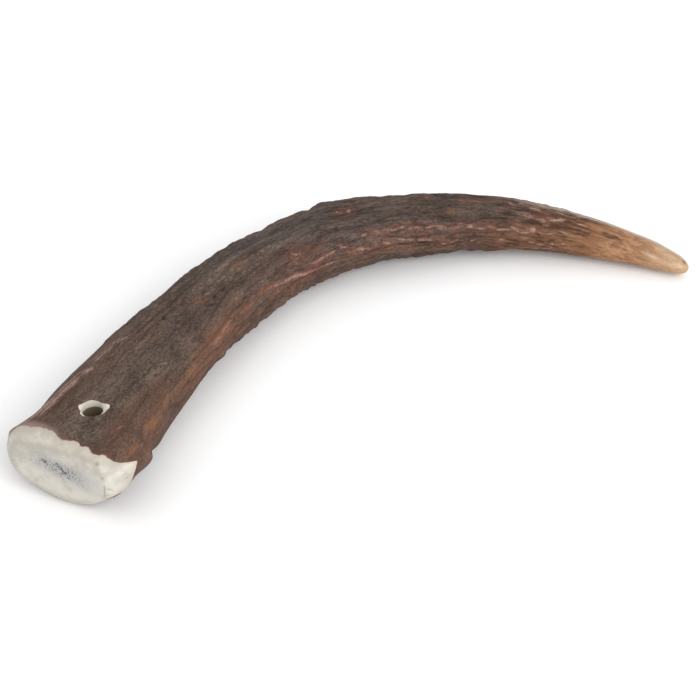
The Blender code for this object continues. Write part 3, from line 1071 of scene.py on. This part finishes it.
class Paint:
    """One material and the nodes that are added to it."""

    def __init__(self, name):
        self.material = bpy.data.materials.new(name)
        self.material.use_nodes = True
        self.tree = self.material.node_tree
        self.shader = self.tree.nodes["Principled BSDF"]

    def node(self, kind, settings, sockets):
        """Adds a node: its settings first, then its sockets' values or links, by name or number."""
        made = self.tree.nodes.new(kind)
        for key, value in settings.items():
            setattr(made, key, value)
        for key, value in sockets.items():
            self.feed(made.inputs[key], value)
        return made

    def feed(self, socket, value):
        """Links a flow to a socket, or sets the socket's own value."""
        if isinstance(value, Flow):
            self.tree.links.new(value.socket, socket)
        else:
            socket.default_value = value

    def maths(self, operation, first, second=0.0):
        made = self.node("ShaderNodeMath", {"operation": operation}, {0: first, 1: second})
        return Flow(self, made.outputs[0])

    def ramp(self, value, low, high):
        """0 below low and 1 above high, with a smooth rise between."""
        made = self.node("ShaderNodeMapRange", {"interpolation_type": "SMOOTHSTEP"}, {
            "Value": value, "From Min": low, "From Max": high})
        return Flow(self, made.outputs["Result"])

    def stretch(self, value, rise_from, rise_by, fall_from, fall_by):
        """Rises smoothly from 0 to 1 and falls back to 0 further on."""
        return self.ramp(value, rise_from, rise_by) * (1.0 - self.ramp(value, fall_from, fall_by))

    def mix(self, share, base, over, blend="MIX"):
        """A base with a share of another colour over it."""
        made = self.node("ShaderNodeMix", {"data_type": "RGBA", "blend_type": blend}, {
            0: share, 6: full_colour(base), 7: full_colour(over)})
        return Flow(self, made.outputs[2])

    def shade(self, base, value):
        """A base made darker or lighter by a number."""
        grey = self.node("ShaderNodeCombineColor", {}, {0: value, 1: value, 2: value})
        return self.mix(1.0, base, Flow(self, grey.outputs[0]), "MULTIPLY")

    def value_of(self, name, output="Fac"):
        """A number, or a place, that each point of the piece carries."""
        made = self.node("ShaderNodeAttribute", {"attribute_name": name}, {})
        return Flow(self, made.outputs[output])

    def ragged(self, name, wobble, low, high):
        """A mark that the piece carries, with its edges wobbled by a noise."""
        value = self.value_of(name)
        return self.ramp(value + wobble, low, high) * self.ramp(value, 0.0, 0.8)

    def grain(self, length, width):
        """Places on the tine as if it were straight, in steps of a length and a width across."""
        step = (1.0 / length, 1.0 / width, 1.0 / width)
        sockets = {0: self.value_of("grain", "Vector"), 1: step}
        scaled = self.node("ShaderNodeVectorMath", {"operation": "MULTIPLY"}, sockets)
        return Flow(self, scaled.outputs["Vector"])

    def noise(self, length, width, detail, roughness, distortion=0.0):
        made = self.node("ShaderNodeTexNoise", {}, {
            "Vector": self.grain(length, width), "Scale": 1.0, "Detail": detail,
            "Roughness": roughness, "Distortion": distortion})
        return Flow(self, made.outputs["Fac"])

    def seams(self, length, width):
        """How far the nearest edge between two cells is."""
        made = self.node("ShaderNodeTexVoronoi", {"feature": "DISTANCE_TO_EDGE"}, {
            "Vector": self.grain(length, width), "Scale": 1.0})
        return Flow(self, made.outputs["Distance"])


class Grain:
    """Where a point lies on the tine as if it were straight, and the noises that its colours share."""

    def __init__(self, paint):
        parts = paint.node("ShaderNodeSeparateXYZ", {}, {0: paint.value_of("grain", "Vector")})
        self.along, self.side, self.up = (Flow(paint, parts.outputs[name]) for name in ("X", "Y", "Z"))
        self.mottle = paint.noise(0.007, 0.0045, 3.0, 0.55)
        self.speck = paint.noise(0.0010, 0.0007, 2.0, 0.6)
        self.streak = paint.noise(0.014, 0.0016, 3.0, 0.6, 0.3)
        self.fibre = paint.noise(0.010, 0.0008, 3.0, 0.6, 0.3)
        self.thread = paint.noise(0.005, 0.0005, 2.0, 0.6, 0.4)
        self.crests = paint.noise(0.0075, 0.0013, 2.0, 0.55, 0.5)
        self.patch = paint.noise(0.035, 0.010, 2.0, 0.5)
        self.flame = paint.noise(0.013, 0.0017, 5.0, 0.65, 0.4)
        self.blotch = paint.noise(0.0040, 0.0014, 4.0, 0.65, 0.3)
        self.grit = paint.noise(0.0022, 0.0006, 3.0, 0.6, 0.3)
        self.dust = paint.noise(0.00055, 0.00045, 1.0, 0.5)
        self.tinge = paint.noise(0.011, 0.006, 3.0, 0.55)
        self.swath = paint.noise(0.045, 0.0042, 2.0, 0.5)
        self.cloud = paint.noise(0.006, 0.004, 3.0, 0.6)
        self.sponge = paint.noise(0.0010, 0.0007, 3.0, 0.7)


def thick_bark(paint, at, finish):
    """The thick bark: its tones, ash, reds and stains, its small crests, furrows and seams, with
    painted highlight on the crests and painted shade in the furrows and along the outer edge.
    """
    streaked = paint.ramp(at.along, *STREAKED)
    tone = at.mottle * (0.36 - streaked * 0.14) + at.streak * streaked * 0.50
    tone = tone + at.speck * (0.52 - streaked * 0.24) + at.grit * (1.0 - streaked) * 0.12
    bark = paint.mix(paint.ramp(tone, 0.38, 0.61), finish.bark_dark, finish.bark_light)
    ashen = paint.ramp(at.tinge, 0.44, 0.62) * (streaked * 0.35 + 0.07)
    ashen = ashen + paint.stretch(at.along, *GREYER) * 0.22
    bark = paint.mix(ashen * (1.0 - paint.ramp(at.along, *ASH_ENDS)), bark, finish.bark_ash)
    inner = paint.ramp(at.side + (at.patch - 0.5) * 0.025, 0.005, 0.015) * 0.62
    outer = paint.ramp(-1.0 * at.side, -0.003, 0.009)
    outer = outer * (1.0 - paint.ramp(at.along, *OUTER_RED_ENDS)) * 0.45
    bark = paint.mix(inner + outer, bark, finish.bark_red)
    stain = paint.value_of("stain") * paint.ramp(at.fibre + at.mottle, 0.68, 1.04)
    bark = paint.mix(stain, bark, finish.rust)
    # Lighter crests of the small bumps: partly worn, partly painted highlight
    crest = paint.value_of("pearl") * paint.ramp(at.speck, 0.40, 0.62) * 0.38
    bark = paint.mix(crest, bark, finish.crest)
    blush = paint.value_of("blush") * paint.ramp(at.mottle + at.speck, 0.72, 1.12) * 0.85
    bark = paint.mix(blush, bark, finish.blush)
    # Painted shade along the outer edge, fading out towards the tip
    edge = paint.value_of("outer") * (1.0 - paint.ramp(at.along, *PAINTED_EDGE_SHADE_ENDS)) * 0.35
    # Darker in the small furrows, partly the bark's own colour and partly painted shade
    furrow = paint.maths("MAXIMUM", paint.value_of("furrow") * 0.46, edge)
    bark = paint.mix(furrow, bark, finish.crevice)
    seams = 1.0 - paint.ramp(paint.seams(0.0026, 0.0017), 0.02, 0.20)
    seams = seams * paint.ramp(at.speck, 0.38, 0.54) * paint.ramp(at.patch, 0.34, 0.54)
    seams = seams * paint.ramp(at.grit, 0.34, 0.54)
    pitted = paint.stretch(at.along, *PITTED) * (1.0 - inner * 1.6)
    bark = paint.mix(seams * pitted * 0.70, bark, finish.crevice)
    shaded = paint.stretch(at.along, *SHADED) * (paint.ramp(at.up, 0.006, 0.010) * 0.12 + 0.12)
    grains = (paint.ramp(at.grit, 0.30, 0.70) - 0.5) * (streaked * 0.44 + 0.20) + 1.0
    near = 1.0 - paint.ramp(at.along, *FAR)
    grains = grains + (paint.ramp(at.swath, 0.34, 0.66) - 0.5) * near * 0.26
    grains = grains + (paint.ramp(at.dust, 0.25, 0.75) - 0.5) * 0.34
    return paint.shade(bark, grains * (1.0 - shaded))


def thinning_bark(paint, at, finish, bark, hollow):
    """Bark that thins towards the tip: russet flames, light strands, gaps and worn crests."""
    russet = paint.ramp(at.along + (at.flame - 0.5) * 0.05 + at.side * 0.6, *RUSSET)
    bark = paint.mix(russet * 0.75, bark, finish.scar)
    bark = paint.mix(russet * paint.ramp(at.flame, 0.44, 0.54), bark, finish.russet)
    strands = paint.ramp(at.along, *STRANDED) * paint.ramp(at.thread, 0.55, 0.66)
    bark = paint.mix(strands * 0.55, bark, finish.strand)
    low_side = paint.ramp(at.along, *LOW_SIDE) * paint.ramp(at.side - at.up * 0.5, 0.001, 0.007)
    bark = paint.mix(low_side * paint.ramp(at.mottle, 0.36, 0.52) * 0.50, bark, finish.tan_deep)
    far = paint.ramp(at.along, *FAR)
    bark = paint.mix(far * (1.0 - paint.ramp(at.along, *FAR_ENDS)) * 0.26, bark, hollow)
    gaps = paint.ramp(at.along, *GAPS) * (1.0 - paint.ramp(at.crests, 0.38, 0.46)) * 0.85
    bark = paint.mix(gaps, bark, hollow)
    pale = paint.ragged("pale", (at.grit - 0.5) * (1.4 - far * 0.6), 0.12, 0.98)
    pale = pale * (paint.ramp(at.speck, 0.36, 0.60) * (0.50 - far * 0.15) + far * 0.15 + 0.42)
    crests = paint.ramp(at.along, *CRESTED) * paint.ramp(at.crests, 0.56, 0.66)
    crests = crests * paint.ramp(at.grit, 0.35, 0.55) * 0.5
    worn = paint.mix(paint.ramp(at.along, *WORN_TAN), finish.worn_pink, finish.worn)
    return paint.mix(paint.maths("MAXIMUM", pale, crests), bark, worn)


def bark_at_cut(paint, at, finish, bark, past_bark):
    """Bark that thins out at the cut, lighter on the outer side."""
    reach = paint.ramp(-1.0 * at.side, 0.0, 0.010) * 2.0 + 1.6
    ragged = past_bark + (at.speck - 0.5) * 1.2 + (at.grit - 0.5) * 3.0
    thin = 1.0 - paint.ramp(ragged / reach, 0.0, 1.0)
    outward = paint.ramp(-1.0 * at.side, -0.004, 0.008)
    tone = paint.mix(outward, finish.blush, finish.thin_bark)
    return paint.mix(thin * (outward * 0.22 + 0.45), bark, tone)


def bare_tip(paint, at, finish, cream):
    """Polished bone near the tip: tan with darker blotches and scars, cream at its end, and painted
    highlights.
    """
    tan = paint.mix(paint.ramp(at.blotch, 0.42, 0.60), finish.tan, finish.tan_deep)
    tan = paint.mix(paint.ramp(at.fibre, 0.60, 0.74) * 0.6, tan, finish.scar)
    tan = paint.mix(cream, tan, finish.tip_cream)
    # Painted highlights on the polished tip
    tan = paint.mix(paint.value_of("pale") * 0.75, tan, finish.tip_glint)
    return paint.shade(tan, paint.ramp(at.grit, 0.30, 0.70) * 0.26 + 0.87)


def sawn_bone(paint, at, finish, past_bark, laid_bare):
    """Sawn bone with its rind, a rim of painted shade, soft middle and pits, and drilled bone darker
    inside with marrow and painted shade.
    """
    tone = at.cloud + at.up * 12.0 - at.side * 3.0
    bone = paint.mix(paint.ramp(tone, 0.38, 0.72), finish.bone, finish.bone_shade)
    bone = paint.mix(paint.ramp(past_bark, -2.6, -0.4) * 0.55, bone, finish.rind)
    # Painted shade along the rim of the sawn face
    bone = paint.mix(paint.value_of("rim") * 0.55, bone, finish.rim)
    bone = paint.mix(paint.value_of("core_halo") * 0.9, bone, finish.core)
    pores = paint.value_of("core") * paint.ramp(at.sponge, 0.47, 0.62) * 0.9
    bone = paint.mix(pores, bone, finish.core_pore)
    pit_tone = paint.mix(paint.ramp(at.side, 0.010, 0.013), finish.core_pore, finish.scar)
    bone = paint.mix(paint.value_of("pit"), bone, pit_tone)
    bone = paint.mix(laid_bare, bone, finish.chipped)
    # Darker deeper in the drilled hole: partly the spongy middle's own colour, partly painted shade
    depth = HOLE_HALF_THICK - paint.maths("ABSOLUTE", at.up) + (at.side - HOLE_ASIDE) * 0.10
    marrow_and_shade = paint.ramp(depth + (at.speck - 0.5) * 0.0004, MARROW_AND_SHADE_FROM, MARROW_AND_SHADE_BY) * laid_bare
    return paint.mix(marrow_and_shade, bone, finish.marrow_and_shade)


def antler_material(finish):
    """Dark furrowed bark with rusty stains and worn crests, sawn bone, and a polished tip."""
    paint = Paint("antler_finish")
    at = Grain(paint)
    past_bark = paint.value_of("past_bark")
    laid_bare = paint.value_of("laid_bare")
    hollow = paint.mix(paint.ramp(at.along, *BROWN_HOLLOWS), finish.crevice, finish.scar)
    bark = thinning_bark(paint, at, finish, thick_bark(paint, at, finish), hollow)
    bark = bark_at_cut(paint, at, finish, bark, past_bark)

    wearing = at.along + (at.flame - 0.5) * 0.045 + (at.blotch - 0.5) * 0.020
    wearing = wearing + at.side * 0.6 - WEAR_SHIFT
    bare = paint.ramp(wearing, *BARE)
    cream = paint.ramp(at.along + (at.blotch - 0.5) * 0.030, *CREAM)
    skin = paint.mix(paint.ramp(wearing, *BARING), bark, finish.tan_deep)
    skin = paint.mix(bare, skin, bare_tip(paint, at, finish, cream))
    # A paler strip on the outer shoulder near the tip: painted sheen, also made glossier by the coat
    weathered = paint.value_of("weathered") + (at.flame + at.blotch - 1.0) * 1.1
    weathered = paint.ramp(weathered, 0.08, 0.88)
    weathered = weathered * paint.ramp(at.along + (at.flame - 0.5) * 0.03, *SHEEN_ALONG)
    painted_sheen_share = weathered * (paint.ramp(at.blotch, 0.36, 0.60) * 0.25 + 0.42)
    skin = paint.mix(painted_sheen_share, skin, finish.weathered)
    pit = paint.ragged("pit", (at.grit - 0.5) * 1.4, 0.15, 0.90)
    skin = paint.mix(pit * 0.85, skin, hollow)

    covered = paint.ramp(past_bark + (at.speck - 0.5) * 0.5, -0.20, 0.25) * (1.0 - laid_bare)
    height = at.speck * 0.3 + at.fibre * 0.3 + at.blotch * 0.3 + at.grit * 0.3
    strength = (1.0 - cream * 0.85) * (covered * 0.8 + 0.2) * (1.0 - laid_bare)
    bumps = paint.node("ShaderNodeBump", {}, {
        "Strength": BUMP_STRENGTH, "Distance": BUMP_DEPTH, "Height": height * strength})
    sockets = {
        "Base Color": paint.mix(covered, sawn_bone(paint, at, finish, past_bark, laid_bare), skin),
        "Roughness": ROUGHNESS - bare * 0.25 - (1.0 - covered) * 0.10 + (at.speck - 0.5) * 0.20,
        "Coat Weight": covered * (bare * (cream * 0.2 + 0.15) + weathered * 0.55),
        "Normal": Flow(paint, bumps.outputs["Normal"]),
        "Metallic": 0.0,
        "Specular IOR Level": SPECULAR,
        "Coat Roughness": COAT_ROUGHNESS,
    }
    for name, value in sockets.items():
        paint.feed(paint.shader.inputs[name], value)
    return paint.material


def colour_property(name, description, default):
    return bpy.props.FloatVectorProperty(
        name=name, description=description, default=default, subtype="COLOR", size=3, min=0.0, max=1.0)


class AntlerSizes(bpy.types.PropertyGroup):
    """Sizes of the tine that a user would change."""

    hole_diameter: bpy.props.FloatProperty(
        name="Hole diameter", description="Width of the drilled hole", default=0.0063, unit="LENGTH")


class AntlerFinish(bpy.types.PropertyGroup):
    """Colours of the tine."""

    bark_dark: colour_property("Dark bark", "Darker tone of the bark", (0.055, 0.038, 0.029))
    bark_light: colour_property("Light bark", "Lighter tone of the bark", (0.132, 0.092, 0.071))
    bark_red: colour_property("Red bark", "Reddish tone of the bark", (0.100, 0.050, 0.034))
    bark_ash: colour_property("Ashen bark", "Greyish tinge of the bark", (0.101, 0.085, 0.083))
    # Partly worn, partly painted highlight
    crest: colour_property("Crest", "Crests of the small bumps", (0.200, 0.125, 0.092))
    blush: colour_property("Blush", "Reddish bark round the pale crests", (0.160, 0.063, 0.046))
    rust: colour_property("Rust", "Rusty stains on the inner side", (0.185, 0.083, 0.042))
    worn_pink: colour_property("Pinkish crest", "Pale crests on the thick bark", (0.335, 0.210, 0.170))
    worn: colour_property("Worn crest", "Pale crests in the thinning bark", (0.400, 0.262, 0.190))
    russet: colour_property("Russet", "Thinning bark before the bare tip", (0.150, 0.070, 0.045))
    strand: colour_property("Strand", "Light strands in the thinning bark", (0.340, 0.195, 0.125))
    # Also the painted shade in the small furrows and along the outer edge
    crevice: colour_property("Crevice", "Inside of furrows and pits", (0.028, 0.017, 0.013))
    thin_bark: colour_property("Thin bark", "Bark where it thins out at the cut", (0.330, 0.240, 0.200))
    # Painted sheen on the outer shoulder near the tip
    weathered: colour_property("Weathered", "Duller outer side near the tip", (0.435, 0.362, 0.303))
    tan: colour_property("Tan", "Polished bone near the tip", (0.385, 0.206, 0.108))
    tan_deep: colour_property("Deep tan", "Darker blotches near the tip", (0.225, 0.108, 0.054))
    scar: colour_property("Scar", "Brown of the scars near the tip", (0.075, 0.036, 0.021))
    tip_cream: colour_property("Tip", "Polished bone at the tip", (0.450, 0.288, 0.165))
    # Painted highlights on the polished tip
    tip_glint: colour_property("Light tip", "Light strands of the tip", (0.600, 0.425, 0.280))
    bone: colour_property("Bone", "Sawn bone", (0.605, 0.573, 0.510))
    bone_shade: colour_property("Shaded bone", "Duller tone of the sawn bone", (0.475, 0.438, 0.380))
    rind: colour_property("Rind", "Sawn bone just under the bark", (0.430, 0.375, 0.300))
    # Painted shade round the sawn face
    rim: colour_property("Rim", "Duller line round the sawn face", (0.385, 0.365, 0.305))
    chipped: colour_property("Chipped", "Fresh bone in the mouth of the hole", (0.640, 0.600, 0.530))
    core: colour_property("Core", "Greyish middle of the sawn bone", (0.372, 0.373, 0.374))
    core_pore: colour_property("Pore", "Pores in the soft middle", (0.070, 0.060, 0.055))
    # Marrow darkened with painted shade deeper in the hole
    marrow_and_shade: colour_property("Marrow", "Inside of the drilled hole", (0.160, 0.130, 0.080))


class AntlerStage(bpy.types.PropertyGroup):
    """The floor, the lights and the camera."""

    floor: colour_property("Floor", "Colour of the floor", (0.950, 0.950, 0.950))
    view_angle: bpy.props.FloatProperty(
        name="View angle", description="Direction of the camera round the object",
        default=math.radians(-29.84), subtype="ANGLE")
    view_height: bpy.props.FloatProperty(
        name="View height", description="Angle of the camera above the floor",
        default=math.radians(41.0), subtype="ANGLE")
    view_distance: bpy.props.FloatProperty(
        name="View distance", description="From the camera to the middle of its view",
        default=0.5674, unit="LENGTH")
    lens: bpy.props.FloatProperty(name="Lens", description="Focal length in millimetres", default=90.0)


class ANTLER_OT_tine(bpy.types.Operator):
    """Makes the tine with its bark, sawn face, hole and tip"""

    bl_idname = "antler.tine"
    bl_label = "Make tine"

    def execute(self, context):
        sizes = context.scene.antler_sizes
        mesh = drilled(tine_shell(), drill_bar(sizes.hole_diameter))
        mesh.name = "antler_tine"
        dress_drilled(mesh)
        mesh.materials.clear()
        mesh.materials.append(antler_material(context.scene.antler_finish))
        mesh.shade_smooth()
        mesh.set_sharp_from_angle(angle=math.radians(SHARP_ANGLE))
        tine = bpy.data.objects.new("antler_tine", mesh)
        context.scene.collection.objects.link(tine)
        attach(tine, BODY)
        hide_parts(NODE)
        return {"FINISHED"}


class ANTLER_OT_stage(bpy.types.Operator):
    """Makes the floor, the lights and the camera"""

    bl_idname = "antler.stage"
    bl_label = "Make stage"

    def execute(self, context):
        stage = context.scene.antler_stage
        self.make_floor(stage)
        self.make_lights()
        self.make_camera(context, stage)
        return {"FINISHED"}

    @staticmethod
    def make_floor(stage):
        ground = bmesh.new()
        bmesh.ops.create_grid(ground, x_segments=2, y_segments=2, size=FLOOR_HALF)
        mesh = bpy.data.meshes.new("floor")
        ground.to_mesh(mesh)
        ground.free()
        paint = Paint("floor_finish")
        paint.feed(paint.shader.inputs["Base Color"], full_colour(stage.floor))
        paint.feed(paint.shader.inputs["Roughness"], FLOOR_ROUGHNESS)
        mesh.materials.append(paint.material)
        floor = bpy.data.objects.new("floor", mesh)
        bpy.context.scene.collection.objects.link(floor)

    @staticmethod
    def make_lights():
        world = bpy.data.worlds.new("studio")
        world.use_nodes = True
        background = world.node_tree.nodes["Background"]
        background.inputs["Color"].default_value = (1.0, 1.0, 1.0, 1.0)
        background.inputs["Strength"].default_value = SKY_STRENGTH
        bpy.context.scene.world = world
        light = bpy.data.lights.new("key", "AREA")
        light.energy = KEY_POWER
        light.size = KEY_SIZE
        key = bpy.data.objects.new("key", light)
        key.location = KEY_PLACE
        key.rotation_euler = (-Vector(KEY_PLACE)).to_track_quat("-Z", "Y").to_euler()
        bpy.context.scene.collection.objects.link(key)

    @staticmethod
    def make_camera(context, stage):
        target = Vector((*VIEW_TARGET, SOLID_BOX[0].z))
        back = Vector((
            math.sin(stage.view_angle) * math.cos(stage.view_height),
            -math.cos(stage.view_angle) * math.cos(stage.view_height),
            math.sin(stage.view_height),
        ))
        data = bpy.data.cameras.new("camera")
        data.lens = stage.lens
        data.sensor_width = SENSOR_WIDTH
        data.clip_start, data.clip_end = CAMERA_SEES
        camera = bpy.data.objects.new("camera", data)
        camera.location = target + back * stage.view_distance
        camera.rotation_euler = (-back).to_track_quat("-Z", "Y").to_euler()
        context.scene.collection.objects.link(camera)
        context.scene.camera = camera
        context.scene.view_settings.view_transform = "Standard"


class ANTLER_PT_panel(bpy.types.Panel):
    """Lists the tine, the stage and their values"""

    bl_idname = "ANTLER_PT_panel"
    bl_label = "Antler"
    bl_space_type = "VIEW_3D"
    bl_region_type = "UI"
    bl_category = "Antler"

    def draw(self, context):
        layout = self.layout
        for operator in (ANTLER_OT_tine, ANTLER_OT_stage):
            layout.operator(operator.bl_idname)
        scene = context.scene
        for group in (scene.antler_sizes, scene.antler_finish, scene.antler_stage):
            for name in group.__annotations__:
                layout.prop(group, name)


CLASSES = (AntlerSizes, AntlerFinish, AntlerStage, ANTLER_OT_tine, ANTLER_OT_stage, ANTLER_PT_panel)


def register():
    for item in CLASSES:
        bpy.utils.register_class(item)
    bpy.types.Scene.antler_sizes = bpy.props.PointerProperty(type=AntlerSizes)
    bpy.types.Scene.antler_finish = bpy.props.PointerProperty(type=AntlerFinish)
    bpy.types.Scene.antler_stage = bpy.props.PointerProperty(type=AntlerStage)


def unregister():
    for name in ("antler_sizes", "antler_finish", "antler_stage"):
        delattr(bpy.types.Scene, name)
    for item in reversed(CLASSES):
        bpy.utils.unregister_class(item)


def main():
    register()
    bpy.ops.antler.tine()
    bpy.ops.antler.stage()


if __name__ == "__main__":
    main()
